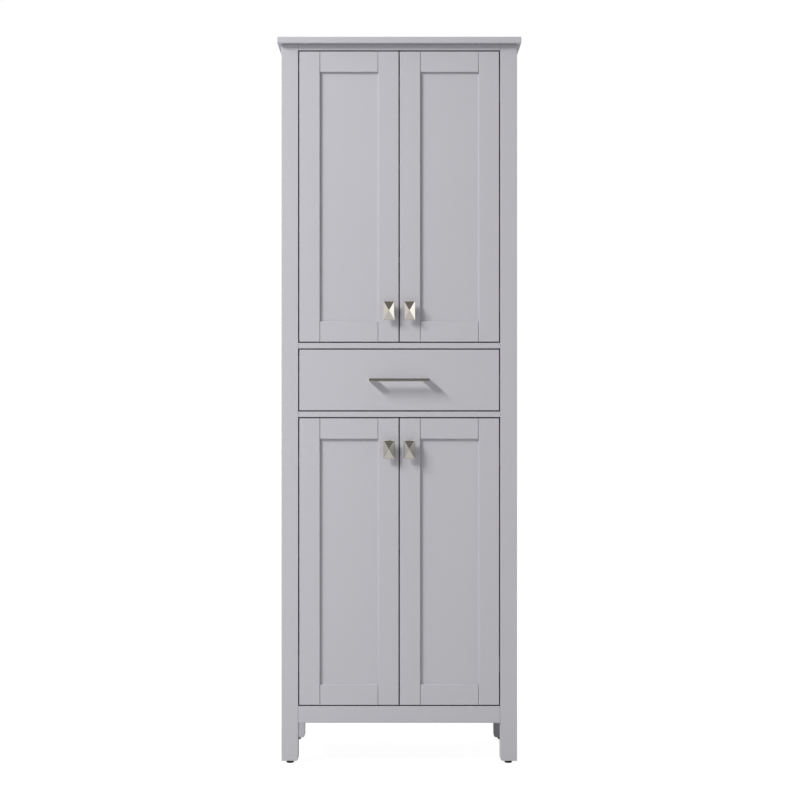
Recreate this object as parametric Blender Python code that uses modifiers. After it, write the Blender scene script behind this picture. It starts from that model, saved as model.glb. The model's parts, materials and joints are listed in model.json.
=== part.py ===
"""Tall pantry cabinet on four legs: a pair of framed doors above, a pair below and a drawer between.

Metres, +Z up, the front faces -Y. The origin is on the floor, under the middle of the cabinet's box.
"""

import math

import bmesh
import bpy
from mathutils import Matrix, Vector

# Overall size
WIDTH = 0.610  # of the top board
HEIGHT = 1.818  # from the floor to the top board's upper face
DEPTH = 0.406  # of the top board
TOP_THICKNESS = 0.016
TOP_SIDE_OVERHANG = 0.010  # of the top board past the legs
TOP_FRONT_OVERHANG = 0.016

# Fits
FIT = 0.0003  # gap between pieces that are fastened together
REVEAL = 0.003  # gap round the doors and the drawer front
EASE = 0.0008  # width of an eased edge

# Legs, rails and panels of the case
LEG = 0.042  # square section
LEG_CORNER_RADIUS = 0.007  # at the foot of a leg, on its inner side
GLIDE_HEIGHT = 0.007
GLIDE_RADIUS = 0.0095
GLIDE_STEM_RADIUS = 0.0025
GLIDE_STEM_LENGTH = 0.015
FLOOR_CLEARANCE = 0.1025  # under the bottom rail
BOTTOM_RAIL_HEIGHT = 0.042
TOP_RAIL_HEIGHT = 0.0155
RAIL_THICKNESS = 0.020
SIDE_THICKNESS = 0.015
SIDE_SETBACK = 0.005  # of a side panel's outer face behind the legs' outer faces
BACK_THICKNESS = 0.006
BACK_SETBACK = 0.004  # of the back panel's outer face in front of the rear legs' rear faces
TONGUE = 0.008  # how far a side panel or the back panel reaches into its groove
DECK_THICKNESS = 0.014

# Heights of the openings, from the bottom rail up. The upper doors take what is left.
LOWER_OPENING_HEIGHT = 0.7235
DRAWER_OPENING_HEIGHT = 0.158

# Shelves
UPPER_SHELVES = 2
LOWER_SHELVES = 1
SHELF_THICKNESS = 0.015
SHELF_FRONT_GAP = 0.006  # between a shelf and the front legs
SHELF_END_GAP = 0.001

# Doors
DOOR_THICKNESS = 0.020
STILE_WIDTH = 0.051
RAIL_WIDTH = 0.051
PANEL_RECESS = 0.006
PANEL_THICKNESS = 0.006
JOINT_LINE_DEPTH = 0.0006
KNOB_INSET = 0.024  # from the door's free edge to the knob's centre
KNOB_END_OFFSET = 0.0775  # from the door's end to the knob's centre
KNOB_WIDTH = 0.028
KNOB_HEIGHT = 0.047
KNOB_RIM = 0.003
KNOB_PEAK = 0.009
KNOB_NECK_LENGTH = 0.014
KNOB_NECK_RADIUS = 0.006
KNOB_SCREW_RADIUS = 0.0022

# Concealed hinges
HINGE_END_OFFSET = 0.100  # from a door's end to its hinge
CUP_RADIUS = 0.0175
CUP_DEPTH = 0.0115
CUP_WALL = 0.0012
CUP_RIM = 0.002  # how far the rim reaches past the bored hole
CUP_EAR_HALF_HEIGHT = 0.027
CUP_EAR_WIDTH = 0.014
FLANGE_THICKNESS = 0.0012
ARM_PLATE_THICKNESS = 0.002
ARM_PLATE_HEIGHT = 0.046
ARM_PLATE_CLEARANCE = 0.0025  # behind the door's back
ARM_PLATE_DEPTH = 0.0165
ARM_HEIGHT = 0.014
ARM_STANDOFF = 0.006  # of the arm behind the door's back
ARM_DEPTH = 0.006
ARM_TIP_WIDTH = 0.006
ARM_TIP_REACH = 0.006  # into the cup, past the door's back

# Drawer
DRAWER_FRONT_THICKNESS = 0.020
DRAWER_SIDE_THICKNESS = 0.012
DRAWER_BOTTOM_THICKNESS = 0.006
DRAWER_BOTTOM_RISE = 0.010  # of the bottom panel above the sides' lower edges
DRAWER_GROOVE = 0.006
BOX_LOW_CLEARANCE = 0.015  # under the drawer's sides
BOX_TOP_CLEARANCE = 0.033  # over the drawer's sides
HANDLE_LENGTH = 0.150
HANDLE_PROJECTION = 0.030
HANDLE_BAR = 0.008  # section of the bar
HANDLE_POST_WIDTH = 0.016

# Drawer slides, a pair with three members each
SLIDE_THICKNESS = 0.0127
SLIDE_LENGTH = 0.350
SLIDE_HEIGHT = 0.045
SLIDE_METAL = 0.0012
SLIDE_BALL_GAP = 0.003  # between nested members, above and below
SLIDE_WEB_GAP = 0.0018  # between the webs of nested members

# Places that follow from the sizes. The depth counts the handle, which stands out furthest.
BODY_WIDTH = WIDTH - 2 * TOP_SIDE_OVERHANG
BODY_DEPTH = DEPTH - TOP_FRONT_OVERHANG
BACK_Y = (BODY_DEPTH + max(HANDLE_PROJECTION, TOP_FRONT_OVERHANG)) / 2
FACE_Y = BACK_Y - BODY_DEPTH
OUTER_X = BODY_WIDTH / 2
INNER_X = OUTER_X - LEG
SIDE_OUTER_X = OUTER_X - SIDE_SETBACK
SIDE_INNER_X = SIDE_OUTER_X - SIDE_THICKNESS
FRONT_LEG_BACK_Y = FACE_Y + LEG
REAR_LEG_FRONT_Y = BACK_Y - LEG
BACK_PANEL_Y = (BACK_Y - BACK_SETBACK - BACK_THICKNESS, BACK_Y - BACK_SETBACK)

TOP_LOW = HEIGHT - TOP_THICKNESS
BOTTOM_DECK_TOP = FLOOR_CLEARANCE + BOTTOM_RAIL_HEIGHT
DRAWER_DECK_LOW = BOTTOM_DECK_TOP + LOWER_OPENING_HEIGHT
DRAWER_DECK_TOP = DRAWER_DECK_LOW + DECK_THICKNESS
UPPER_DECK_LOW = DRAWER_DECK_TOP + DRAWER_OPENING_HEIGHT
UPPER_DECK_TOP = UPPER_DECK_LOW + DECK_THICKNESS
TOP_RAIL_LOW = TOP_LOW - TOP_RAIL_HEIGHT

DOOR_BACK_Y = FACE_Y + DOOR_THICKNESS
# A stile holds a cup's bore and the panel's edge side by side, with a wall on each side of the bore.
DOOR_TONGUE = (STILE_WIDTH - 2 * CUP_RADIUS) / 2
CUP_INSET = (STILE_WIDTH - DOOR_TONGUE) / 2  # from the door's hinged edge to the cup's centre
ROUND_SIDES = 32
SMALL_SIDES = 12

# How a flat outline's own axes turn to face along a world axis
FACING = {"X": (math.pi / 2, 0, math.pi / 2), "Y": (math.pi / 2, 0, 0), "Z": (0, 0, 0)}
LEFT, RIGHT = -1, 1


def clear_scene():
    for obj in list(bpy.data.objects):
        bpy.data.objects.remove(obj)


def new_collection(name):
    made = bpy.data.collections.new(name)
    bpy.context.scene.collection.children.link(made)
    return made


def new_finish(name, colour, roughness, metallic=0.0):
    material = bpy.data.materials.new(name)
    material.use_nodes = True
    shader = material.node_tree.nodes["Principled BSDF"]
    shader.inputs["Base Color"].default_value = (*colour, 1)
    shader.inputs["Roughness"].default_value = roughness
    shader.inputs["Metallic"].default_value = metallic
    return material


clear_scene()
PARTS = new_collection("pantry_cabinet")
TOOLS = new_collection("cutters")
PAINT = new_finish("painted_wood", (0.50, 0.495, 0.52), 0.45)
INSIDE = new_finish("painted_board", (0.50, 0.495, 0.52), 0.55)
NICKEL = new_finish("brushed_nickel", (0.62, 0.59, 0.54), 0.28, 1.0)
STEEL = new_finish("plated_steel", (0.60, 0.61, 0.62), 0.32, 1.0)
NYLON = new_finish("black_nylon", (0.015, 0.015, 0.015), 0.5)


def place(obj, name, finish):
    """Names a new object, gives it its finish and moves it to the cabinet's collection."""
    obj.name = name
    obj.data.name = name
    obj.data.materials.clear()
    obj.data.materials.append(finish)
    for holder in list(obj.users_collection):
        holder.objects.unlink(obj)
    PARTS.objects.link(obj)
    return obj


def ease_edges(obj, width=EASE):
    bevel = obj.modifiers.new("eased_edges", "BEVEL")
    bevel.width = width
    bevel.segments = 1
    bevel.limit_method = "ANGLE"
    return obj


def block(name, x, y, z, finish):
    """A square-edged board or bar between the two values of x, of y and of z."""
    size = [abs(b - a) for a, b in (x, y, z)]
    middle = [(a + b) / 2 for a, b in (x, y, z)]
    bpy.ops.mesh.primitive_cube_add(size=1, location=middle)
    obj = bpy.context.object
    obj.data.transform(Matrix.Diagonal((*size, 1)))
    return place(obj, name, finish)


def rod(name, axis, centre, span, radius, finish, sides=ROUND_SIDES):
    """A round bar along an axis, from the first to the second value of span. centre holds the rest."""
    location = list(centre)
    location.insert("XYZ".index(axis), (span[0] + span[1]) / 2)
    bpy.ops.mesh.primitive_cylinder_add(
        vertices=sides,
        radius=radius,
        depth=abs(span[1] - span[0]),
        location=location,
        rotation=FACING[axis],
    )
    obj = place(bpy.context.object, name, finish)
    obj.data.shade_smooth()
    obj.data.set_sharp_from_angle(angle=math.radians(35))
    return obj


def outline(name, rings, span, facing, finish):
    """A flat outline, with any further rings as holes, extruded along the facing axis over span."""
    curve = bpy.data.curves.new(name, "CURVE")
    curve.dimensions = "2D"
    curve.fill_mode = "BOTH"
    curve.extrude = abs(span[1] - span[0]) / 2
    for ring in rings:
        spline = curve.splines.new("POLY")
        spline.points.add(len(ring) - 1)
        for point, (a, b) in zip(spline.points, ring):
            point.co = (a, b, 0, 1)
        spline.use_cyclic_u = True
    flat = bpy.data.objects.new(name, curve)
    flat.rotation_euler = FACING[facing]
    flat.location["XYZ".index(facing)] = (span[0] + span[1]) / 2
    bpy.context.scene.collection.objects.link(flat)
    return as_mesh(flat, name, finish)


def as_mesh(flat, name, finish):
    """Turns a curve object into a mesh object in the same place, with its caps welded on."""
    bpy.context.view_layer.update()
    graph = bpy.context.evaluated_depsgraph_get()
    mesh = bpy.data.meshes.new_from_object(flat.evaluated_get(graph))
    shape = bmesh.new()
    shape.from_mesh(mesh)
    bmesh.ops.remove_doubles(shape, verts=shape.verts, dist=1e-5)
    bmesh.ops.dissolve_limit(shape, angle_limit=0.001, verts=shape.verts, edges=shape.edges)
    bmesh.ops.recalc_face_normals(shape, faces=shape.faces)
    shape.to_mesh(mesh)
    shape.free()
    obj = bpy.data.objects.new(name, mesh)
    bpy.context.scene.collection.objects.link(obj)
    obj.matrix_world = flat.matrix_world
    bpy.data.objects.remove(flat)
    return place(obj, name, finish)


def as_tool(obj):
    """Makes an object a cutter or a joined-in shape, which isn't a piece by itself."""
    PARTS.objects.unlink(obj)
    TOOLS.objects.link(obj)
    obj.hide_render = True
    obj.display_type = "WIRE"
    return obj


def boolean(obj, tool, operation):
    modifier = obj.modifiers.new(tool.name, "BOOLEAN")
    modifier.operation = operation
    modifier.object = as_tool(tool)
    return obj


def cut(obj, tool):
    return boolean(obj, tool, "DIFFERENCE")


def join(obj, tool):
    return boolean(obj, tool, "UNION")


def grown(span, margin):
    """The span, from low to high, made longer by margin at each end."""
    return (min(span) - margin, max(span) + margin)


def attach(empty, *pieces):
    """Parents pieces to the empty on their joint's axis and leaves them where they are."""
    for piece in pieces:
        piece.parent = empty
        piece.matrix_parent_inverse = Matrix.Translation(-Vector(empty.location))


def joint_empty(name, location):
    empty = bpy.data.objects.new(name, None)
    empty.location = location
    empty.empty_display_size = 0.03
    PARTS.objects.link(empty)
    return empty


def glide(name, x, y):
    """A nail-on furniture glide: a low turned disc with a stem that goes up into the leg."""
    profile = [
        (0, GLIDE_HEIGHT + GLIDE_STEM_LENGTH),
        (GLIDE_STEM_RADIUS, GLIDE_HEIGHT + GLIDE_STEM_LENGTH),
        (GLIDE_STEM_RADIUS, GLIDE_HEIGHT),
        (GLIDE_RADIUS, GLIDE_HEIGHT),
        (GLIDE_RADIUS, EASE),
        (GLIDE_RADIUS - EASE, 0),
        (0, 0),
    ]
    mesh = bpy.data.meshes.new(name)
    points = [(radius, 0, height) for radius, height in profile]
    mesh.from_pydata(points, [(i, i + 1) for i in range(len(points) - 1)], [])
    obj = bpy.data.objects.new(name, mesh)
    bpy.context.scene.collection.objects.link(obj)
    obj.location = (x, y, 0)
    screw = obj.modifiers.new("turned", "SCREW")
    screw.steps = screw.render_steps = 2 * SMALL_SIDES
    screw.use_merge_vertices = True
    screw.merge_threshold = 1e-5
    return place(obj, name, NYLON)


def leg(name, side, y_low, at_front):
    """A square leg, rounded at its foot on the inner side, with grooves for the panels beside it."""
    low, high = GLIDE_HEIGHT + FIT, TOP_LOW - FIT
    outer, inner = side * OUTER_X, side * INNER_X
    turn_x, turn_z = inner + side * LEG_CORNER_RADIUS, low + LEG_CORNER_RADIUS
    turns = [math.radians(angle) for angle in (0, 22.5, 45, 67.5, 90)]
    foot = [
        (turn_x - side * LEG_CORNER_RADIUS * math.sin(a), turn_z - LEG_CORNER_RADIUS * math.cos(a))
        for a in turns
    ]
    ring = [(outer, low), *foot, (inner, high), (outer, high)]
    obj = ease_edges(outline(name, [ring], (y_low, y_low + LEG), "Y", PAINT))
    height = (FLOOR_CLEARANCE - FIT, high + TONGUE)
    side_faces = (side * (SIDE_INNER_X - FIT), side * (SIDE_OUTER_X + FIT))
    if at_front:
        groove_y = (y_low + LEG - TONGUE - FIT, y_low + LEG + TONGUE)
    else:
        groove_y = (y_low - TONGUE, y_low + TONGUE + FIT)
    cut(obj, block(name + "_side_groove", side_faces, groove_y, height, PAINT))
    if not at_front:
        across = (inner + side * (TONGUE + FIT), inner - side * TONGUE)
        cut(obj, block(name + "_back_groove", across, grown(BACK_PANEL_Y, FIT), height, PAINT))
    middle = (side * (INNER_X + LEG / 2), y_low + LEG / 2)
    stem_z = (0, GLIDE_HEIGHT + GLIDE_STEM_LENGTH + FIT)
    stem_radius = GLIDE_STEM_RADIUS + FIT
    cut(obj, rod(name + "_stem_hole", "Z", middle, stem_z, stem_radius, PAINT, SMALL_SIDES))
    glide(name.replace("_leg", "_glide"), *middle)


def build_legs():
    for word, side in (("left", LEFT), ("right", RIGHT)):
        leg(f"front_{word}_leg", side, FACE_Y, at_front=True)
        leg(f"rear_{word}_leg", side, REAR_LEG_FRONT_Y, at_front=False)


def build_case():
    """The top board, the panels and the two rails of the face."""
    top = block("top_board", (-WIDTH / 2, WIDTH / 2), (BACK_Y - DEPTH, BACK_Y), (TOP_LOW, HEIGHT), PAINT)
    ease_edges(top)
    height = (FLOOR_CLEARANCE, TOP_LOW - FIT)
    depth = (FRONT_LEG_BACK_Y - TONGUE, REAR_LEG_FRONT_Y + TONGUE)
    for word, side in (("left", LEFT), ("right", RIGHT)):
        block(f"{word}_side_panel", (side * SIDE_INNER_X, side * SIDE_OUTER_X), depth, height, PAINT)
    across = (-INNER_X - TONGUE, INNER_X + TONGUE)
    block("back_panel", across, BACK_PANEL_Y, height, INSIDE)
    between = (-INNER_X + FIT, INNER_X - FIT)
    rail_y = (FACE_Y, FACE_Y + RAIL_THICKNESS)
    ease_edges(block("top_rail", between, rail_y, (TOP_RAIL_LOW, TOP_LOW - FIT), PAINT))
    ease_edges(block("bottom_rail", between, rail_y, (FLOOR_CLEARANCE, BOTTOM_DECK_TOP), PAINT))


def deck(name, front_y, z_low, z_high):
    """A fixed horizontal board, notched at its four corners round the legs."""
    narrow, wide = INNER_X - FIT, SIDE_INNER_X - FIT
    front_notch, rear_notch = FRONT_LEG_BACK_Y + FIT, REAR_LEG_FRONT_Y - FIT
    rear_y = BACK_PANEL_Y[0] - FIT
    right = [
        (narrow, front_y),
        (narrow, front_notch),
        (wide, front_notch),
        (wide, rear_notch),
        (narrow, rear_notch),
        (narrow, rear_y),
    ]
    left = [(-x, y) for x, y in reversed(right)]
    return outline(name, [right + left], (z_low, z_high), "Z", PAINT)


def build_decks():
    behind_rail = FACE_Y + RAIL_THICKNESS + FIT
    deck("bottom_deck", behind_rail, BOTTOM_DECK_TOP - DECK_THICKNESS, BOTTOM_DECK_TOP)
    deck("drawer_deck", FACE_Y, DRAWER_DECK_LOW, DRAWER_DECK_TOP)
    deck("upper_deck", FACE_Y, UPPER_DECK_LOW, UPPER_DECK_TOP)


def build_shelves():
    """Loose shelves between the front and rear legs, evenly spaced up each cupboard."""
    across = (-SIDE_INNER_X + SHELF_END_GAP, SIDE_INNER_X - SHELF_END_GAP)
    depth = (FRONT_LEG_BACK_Y + SHELF_FRONT_GAP, REAR_LEG_FRONT_Y - FIT)
    cupboards = (
        ("upper", UPPER_SHELVES, UPPER_DECK_TOP, TOP_LOW),
        ("lower", LOWER_SHELVES, BOTTOM_DECK_TOP, DRAWER_DECK_LOW),
    )
    for word, count, low, high in cupboards:
        pitch = (high - low) / (count + 1)
        for n in range(1, count + 1):
            z = low + n * pitch
            number = f"_{n}" if count > 1 else ""
            name = f"{word}_shelf{number}"
            ease_edges(block(name, across, depth, (z - SHELF_THICKNESS / 2, z + SHELF_THICKNESS / 2), INSIDE))


def knob(name, side, z):
    """A door knob: an oblong face cut to four facets that meet in a point, on a round neck."""
    x = side * (REVEAL / 2 + KNOB_INSET)
    foot_y = FACE_Y - FIT
    plate_y = (foot_y - KNOB_NECK_LENGTH - KNOB_RIM, foot_y - KNOB_NECK_LENGTH)
    width = (x - KNOB_WIDTH / 2, x + KNOB_WIDTH / 2)
    height = (z - KNOB_HEIGHT / 2, z + KNOB_HEIGHT / 2)
    obj = block(name, width, plate_y, height, NICKEL)
    shape = bmesh.new()
    shape.from_mesh(obj.data)
    face = min(shape.faces, key=lambda one: one.calc_center_median().y)
    peak = bmesh.ops.poke(shape, faces=[face])["verts"][0]
    peak.co.y -= KNOB_PEAK
    shape.to_mesh(obj.data)
    shape.free()
    neck_y = (plate_y[1] - KNOB_RIM / 2, foot_y)
    return join(obj, rod(name + "_neck", "Y", (x, z), neck_y, KNOB_NECK_RADIUS, NICKEL, ROUND_SIDES // 2))


def hinge_cup(name, side, z):
    """The cup of a concealed hinge, sunk in the door's back, with a rim and two ears for its screws."""
    x = side * (INNER_X - REVEAL - CUP_INSET)
    face_y = DOOR_BACK_Y + FIT
    rim_y = face_y + FLANGE_THICKNESS
    obj = rod(name, "Y", (x, z), (DOOR_BACK_Y - CUP_DEPTH, rim_y), CUP_RADIUS, STEEL)
    join(obj, rod(name + "_rim", "Y", (x, z), (face_y, rim_y), CUP_RADIUS + CUP_RIM, STEEL))
    ears = (x - CUP_EAR_WIDTH / 2, x + CUP_EAR_WIDTH / 2)
    height = (z - CUP_EAR_HALF_HEIGHT, z + CUP_EAR_HALF_HEIGHT)
    join(obj, block(name + "_ears", ears, (face_y, rim_y), height, STEEL))
    hollow_y = (DOOR_BACK_Y - CUP_DEPTH + CUP_WALL, rim_y + CUP_DEPTH)
    return cut(obj, rod(name + "_hollow", "Y", (x, z), hollow_y, CUP_RADIUS - CUP_WALL, STEEL))


def hinge_arm(name, side, z):
    """The fixed arm of a concealed hinge: a plate on the leg, and an arm whose tip dips into the cup."""
    wall_x = side * (INNER_X - FIT)
    plate_x = wall_x - side * ARM_PLATE_THICKNESS
    plate_y = DOOR_BACK_Y + ARM_PLATE_CLEARANCE
    height = (z - ARM_PLATE_HEIGHT / 2, z + ARM_PLATE_HEIGHT / 2)
    depth = (plate_y, plate_y + ARM_PLATE_DEPTH)
    obj = block(name, (wall_x, plate_x), depth, height, STEEL)
    cup_x = side * (INNER_X - REVEAL - CUP_INSET)
    tip_x = (cup_x + side * ARM_TIP_WIDTH / 4, cup_x - side * ARM_TIP_WIDTH * 3 / 4)
    near_y = DOOR_BACK_Y + ARM_STANDOFF
    far_y = near_y + ARM_DEPTH
    tip_y = DOOR_BACK_Y - ARM_TIP_REACH
    root_x = wall_x - side * ARM_PLATE_THICKNESS / 2
    ring = [
        (root_x, near_y),
        (tip_x[0], near_y),
        (tip_x[0], tip_y),
        (tip_x[1], tip_y),
        (tip_x[1], far_y),
        (root_x, far_y),
    ]
    arm = outline(name + "_arm", [ring], (z - ARM_HEIGHT / 2, z + ARM_HEIGHT / 2), "Z", STEEL)
    return join(obj, arm)


def door_frame(name, side, z_low, z_high, hinge_heights, knob_z):
    """Two stiles and two rails glued into one frame, grooved for the panel and bored for its fittings.

    A fine V along each joint shows where a rail meets a stile.
    """
    hinged, free = side * (INNER_X - REVEAL), side * REVEAL / 2
    left, right = sorted((hinged, free))
    inner_left, inner_right = left + STILE_WIDTH, right - STILE_WIDTH
    inner_low, inner_high = z_low + RAIL_WIDTH, z_high - RAIL_WIDTH
    outer = [(left, z_low), (right, z_low), (right, z_high), (left, z_high)]
    inner = [
        (inner_left, inner_low),
        (inner_right, inner_low),
        (inner_right, inner_high),
        (inner_left, inner_high),
    ]
    obj = ease_edges(outline(name, [outer, inner], (FACE_Y, DOOR_BACK_Y), "Y", PAINT))
    panel_y = (FACE_Y + PANEL_RECESS, FACE_Y + PANEL_RECESS + PANEL_THICKNESS)
    groove_x = grown((inner_left, inner_right), DOOR_TONGUE + FIT)
    groove_z = grown((inner_low, inner_high), DOOR_TONGUE + FIT)
    cut(obj, block(name + "_groove", groove_x, grown(panel_y, FIT), groove_z, PAINT))
    for word, x in (("left", inner_left), ("right", inner_right)):
        for end, rail in (("low", (z_low - FIT, inner_low)), ("high", (inner_high, z_high + FIT))):
            bpy.ops.mesh.primitive_cylinder_add(
                vertices=4,
                radius=JOINT_LINE_DEPTH,
                depth=rail[1] - rail[0],
                location=(x, FACE_Y, sum(rail) / 2),
            )
            cut(obj, place(bpy.context.object, f"{name}_{word}_{end}_joint", PAINT))
    cup_x = side * (INNER_X - REVEAL - CUP_INSET)
    bore_y = (DOOR_BACK_Y - CUP_DEPTH - FIT, DOOR_BACK_Y + CUP_DEPTH)
    for n, z in enumerate(hinge_heights, 1):
        cut(obj, rod(f"{name}_bore_{n}", "Y", (cup_x, z), bore_y, CUP_RADIUS + FIT, PAINT))
    knob_x = side * (REVEAL / 2 + KNOB_INSET)
    through_y = grown((FACE_Y, DOOR_BACK_Y), CUP_DEPTH)
    hole_name = name + "_screw_hole"
    return cut(obj, rod(hole_name, "Y", (knob_x, knob_z), through_y, KNOB_SCREW_RADIUS, PAINT, SMALL_SIDES))


def door_panel(name, side, z_low, z_high):
    hinged, free = side * (INNER_X - REVEAL), side * REVEAL / 2
    left, right = sorted((hinged, free))
    across = grown((left + STILE_WIDTH, right - STILE_WIDTH), DOOR_TONGUE)
    height = grown((z_low + RAIL_WIDTH, z_high - RAIL_WIDTH), DOOR_TONGUE)
    depth = (FACE_Y + PANEL_RECESS, FACE_Y + PANEL_RECESS + PANEL_THICKNESS)
    return block(name, across, depth, height, PAINT)


def door(name, side, z_low, z_high, knob_z):
    """A framed door with its knob and hinges. It turns about its front corner, in the gap by the leg."""
    hinge_heights = (z_low + HINGE_END_OFFSET, z_high - HINGE_END_OFFSET)
    axis = joint_empty(name + "_axis", (side * (INNER_X - REVEAL / 2), FACE_Y, z_low))
    frame = door_frame(name + "_frame", side, z_low, z_high, hinge_heights, knob_z)
    panel = door_panel(name + "_panel", side, z_low, z_high)
    attach(axis, frame, panel, knob(name + "_knob", side, knob_z))
    for word, z in zip(("lower", "upper"), hinge_heights):
        attach(axis, hinge_cup(f"{name}_{word}_hinge_cup", side, z))
        hinge_arm(f"{name}_{word}_hinge_arm", side, z)


def build_doors():
    lower = (BOTTOM_DECK_TOP + REVEAL, DRAWER_DECK_LOW - REVEAL)
    upper = (UPPER_DECK_TOP + REVEAL, TOP_RAIL_LOW - REVEAL)
    for word, side in (("left", LEFT), ("right", RIGHT)):
        door(f"lower_{word}_door", side, *lower, lower[1] - KNOB_END_OFFSET)
        door(f"upper_{word}_door", side, *upper, upper[0] + KNOB_END_OFFSET)


def handle(z):
    """A U-shaped bar handle with a post at each end."""
    half = HANDLE_LENGTH / 2
    foot_y, bar_y = FACE_Y - FIT, FACE_Y - HANDLE_PROJECTION
    inside_x, inside_y = half - HANDLE_POST_WIDTH, bar_y + HANDLE_BAR
    right = [(half, bar_y), (half, foot_y), (inside_x, foot_y), (inside_x, inside_y)]
    left = [(-x, y) for x, y in reversed(right)]
    span = (z - HANDLE_BAR / 2, z + HANDLE_BAR / 2)
    return ease_edges(outline("drawer_handle", [right + left], span, "Z", NICKEL))


def drawer_box(pieces_x, z_low, z_high):
    """The drawer's sides, back and bottom. The bottom panel sits in grooves in all four boards."""
    front_y = FACE_Y + DRAWER_FRONT_THICKNESS + FIT
    rear_y = FACE_Y + DRAWER_FRONT_THICKNESS + SLIDE_LENGTH
    inside_x = pieces_x - DRAWER_SIDE_THICKNESS
    bottom_z = (z_low + DRAWER_BOTTOM_RISE, z_low + DRAWER_BOTTOM_RISE + DRAWER_BOTTOM_THICKNESS)
    reach_x = inside_x + DRAWER_GROOVE
    reach_y = (front_y - FIT - DRAWER_GROOVE, rear_y - DRAWER_SIDE_THICKNESS + DRAWER_GROOVE)
    boards = [
        block("drawer_left_side", (-pieces_x, -inside_x), (front_y, rear_y), (z_low, z_high), INSIDE),
        block("drawer_right_side", (inside_x, pieces_x), (front_y, rear_y), (z_low, z_high), INSIDE),
        block(
            "drawer_back",
            (FIT - inside_x, inside_x - FIT),
            (rear_y - DRAWER_SIDE_THICKNESS, rear_y),
            (z_low, z_high),
            INSIDE,
        ),
    ]
    bottom = block("drawer_bottom", (-reach_x, reach_x), reach_y, bottom_z, INSIDE)
    groove_x, groove_y = grown((-reach_x, reach_x), FIT), grown(reach_y, FIT)
    front = bpy.data.objects["drawer_front"]
    for board in [front, *boards]:
        tool = block(board.name + "_groove", groove_x, groove_y, grown(bottom_z, FIT), INSIDE)
        cut(ease_edges(board), tool)
    return [*boards, bottom]


def channel(name, side, web_x, depth, height, z, opens_inward):
    """A slide member of C section. web_x is the web's outer face, and the lips run away from it."""
    inward = -side if opens_inward else side
    back = web_x + inward * SLIDE_METAL
    lip = web_x + inward * depth
    top, low = z + height / 2, z - height / 2
    ring = [
        (web_x, low),
        (lip, low),
        (lip, low + SLIDE_METAL),
        (back, low + SLIDE_METAL),
        (back, top - SLIDE_METAL),
        (lip, top - SLIDE_METAL),
        (lip, top),
        (web_x, top),
    ]
    front_y = FACE_Y + DRAWER_FRONT_THICKNESS + REVEAL
    return outline(name, [ring], (front_y, front_y + SLIDE_LENGTH - REVEAL), "Y", STEEL)


def slide(word, side, z):
    """A ball-bearing slide: a cabinet member, a middle member and a drawer member, one in another."""
    cabinet_x = side * (INNER_X - FIT)
    middle_x = cabinet_x - side * (SLIDE_METAL + SLIDE_WEB_GAP)
    drawer_x = side * (INNER_X - SLIDE_THICKNESS)
    step = 2 * (SLIDE_METAL + SLIDE_BALL_GAP)
    lip = SLIDE_THICKNESS - SLIDE_METAL - 2 * SLIDE_WEB_GAP
    middle_lip = lip - SLIDE_METAL
    drawer_lip = abs(middle_x - drawer_x) - SLIDE_METAL - SLIDE_WEB_GAP
    channel(f"{word}_slide_cabinet_member", side, cabinet_x, lip, SLIDE_HEIGHT, z, True)
    middle = channel(f"{word}_slide_middle_member", side, middle_x, middle_lip, SLIDE_HEIGHT - step, z, True)
    inner = channel(
        f"{word}_slide_drawer_member", side, drawer_x, drawer_lip, SLIDE_HEIGHT - 2 * step, z, False
    )
    return middle, inner


def build_drawer():
    across = (-INNER_X + REVEAL, INNER_X - REVEAL)
    front_z = (DRAWER_DECK_TOP + REVEAL, UPPER_DECK_LOW - REVEAL)
    depth = (FACE_Y, FACE_Y + DRAWER_FRONT_THICKNESS)
    middle_z = sum(front_z) / 2
    motion = joint_empty("drawer_motion", (0, FACE_Y, middle_z))
    attach(motion, block("drawer_front", across, depth, front_z, PAINT), handle(middle_z))
    box_z = (DRAWER_DECK_TOP + BOX_LOW_CLEARANCE, UPPER_DECK_LOW - BOX_TOP_CLEARANCE)
    attach(motion, *drawer_box(INNER_X - SLIDE_THICKNESS - FIT, *box_z))
    slide_z = sum(box_z) / 2
    for word, side in (("left", LEFT), ("right", RIGHT)):
        middle, inner = slide(word, side, slide_z)
        attach(joint_empty(f"{word}_slide_motion", (side * INNER_X, FACE_Y, slide_z)), middle)
        attach(motion, inner)


build_legs()
build_case()
build_decks()
build_shelves()
build_doors()
build_drawer()
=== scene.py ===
# %% [markdown]
# # A tall painted pantry cabinet
# The cabinet stands on four square legs. It has a pair of framed doors above, a pair below and a drawer
# between them. The packed model already has every board, hinge and slide in its true place, so this
# lesson builds the finished surface round it: rounded edges, turned metal, screws and paint. Everything
# takes its place from the model's own boxes, in metres, with +Z up and the doors facing -Y.

import json
import math

import bmesh
import bpy
from mathutils import Matrix, Vector


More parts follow.
